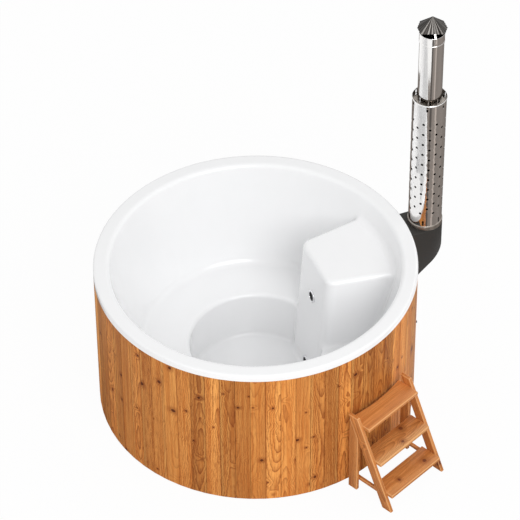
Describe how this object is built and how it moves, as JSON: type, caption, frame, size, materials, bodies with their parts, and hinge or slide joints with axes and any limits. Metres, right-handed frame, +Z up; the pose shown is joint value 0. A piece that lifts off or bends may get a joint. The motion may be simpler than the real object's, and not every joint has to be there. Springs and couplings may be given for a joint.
{
  "type": "wood-fired tub",
  "caption": "Round wood-fired tub: timber wall, moulded white liner with seat and footwell, stove with flue and rain cap, and free-standing timber steps.",
  "frame": {"origin": "on the ground, on the tub's vertical axis", "axes": "+Z up, +X from the tub's axis through the stove and the flue"},
  "size_m": [2.2553, 2.409, 2.637],
  "materials": {
    "liner_acrylic": "glossy moulded white",
    "cladding_pine": "oiled knotty boards, upright grain",
    "step_pine": "oiled boards with pale sapwood bands",
    "frame_timber": "raw planed timber",
    "stove_steel": "heat-darkened steel",
    "stainless": "bright rolled stainless sheet",
    "anthracite_coat": "matt heat-proof coat",
    "chrome_plate": "polished",
    "black_plastic": "satin",
    "gasket_rope": "braided glass-fibre rope",
    "valve_brass": "satin"
  },
  "bodies": {
    "tub": {"liner": "liner_acrylic", "cladding_panel_1": "cladding_pine", "cladding_panel_2": "cladding_pine", "cladding_panel_3": "cladding_pine", "cladding_panel_4": "cladding_pine", "cladding_panel_5": "cladding_pine", "cladding_panel_6": "cladding_pine", "cladding_panel_7": "cladding_pine", "cladding_panel_8": "cladding_pine", "lower_hoop": "frame_timber", "middle_hoop": "frame_timber", "top_hoop": "frame_timber", "upright_1": "frame_timber", "upright_2": "frame_timber", "upright_3": "frame_timber", "upright_4": "frame_timber", "bearer_far": "frame_timber", "bearer_middle": "frame_timber", "bearer_near": "frame_timber", "firebox": "stove_steel", "fire_grate": "stove_steel", "water_jacket": "stainless", "flue_elbow": "stainless", "lower_flue_pipe": "stainless", "upper_flue_pipe": "stainless", "perforated_guard": "stainless", "guard_collar": "stainless", "lower_guard_spacer": "stainless", "upper_guard_spacer": "stainless", "cap_collar": "stainless", "rain_cap": "stainless", "cap_leg_1": "stainless", "cap_leg_2": "stainless", "cap_leg_3": "stainless", "hinge_pin": "stainless", "floor_drain": "stainless", "flue_casing": "anthracite_coat", "stove_front_plate": "anthracite_coat", "upper_port_ring": "chrome_plate", "lower_port_ring": "chrome_plate", "upper_port_grille": "black_plastic", "lower_port_grille": "black_plastic", "drain_pipe": "black_plastic", "door_gasket": "gasket_rope", "drain_valve": "valve_brass"},
    "stove_door_leaf": {"stove_door": "anthracite_coat"},
    "latch_handle": {"door_latch": "stainless"},
    "ash_drawer_box": {"ash_drawer": "anthracite_coat"},
    "air_slide_plate": {"air_slide": "stainless"},
    "drain_lever_arm": {"drain_lever": "black_plastic"},
    "steps": {"top_tread": "step_pine", "middle_tread": "step_pine", "bottom_tread": "step_pine", "left_stringer": "step_pine", "right_stringer": "step_pine", "left_rear_leg": "step_pine", "right_rear_leg": "step_pine", "left_stretcher": "step_pine", "right_stretcher": "step_pine"}
  },
  "joints": [
    {"name": "stove_door_hinge", "type": "hinge", "parent": "tub", "child": "stove_door_leaf", "pos_m": [1.016, 0.137, 0.276], "axis": [0, 0, 1], "range_deg": [0, 110]},
    {"name": "door_latch_turn", "type": "hinge", "parent": "stove_door_leaf", "child": "latch_handle", "pos_m": [1.019, -0.112, 0.265], "axis": [-1, 0, 0], "range_deg": [0, 90]},
    {"name": "ash_drawer_slide", "type": "slide", "parent": "tub", "child": "ash_drawer_box", "axis": [1, 0, 0], "range_m": [0, 0.35]},
    {"name": "air_slide_shift", "type": "slide", "parent": "ash_drawer_box", "child": "air_slide_plate", "axis": [0, 1, 0], "range_m": [0, 0.015]},
    {"name": "drain_lever_turn", "type": "hinge", "parent": "tub", "child": "drain_lever_arm", "pos_m": [0.115, 1.0343, 0.038], "axis": [0, 0, -1], "range_deg": [0, 90]},
    {"name": "steps_pull_away", "type": "slide", "parent": "tub", "child": "steps", "axis": [0.4099, -0.9121, 0], "range_m": [0, 0.6]}
  ]
}
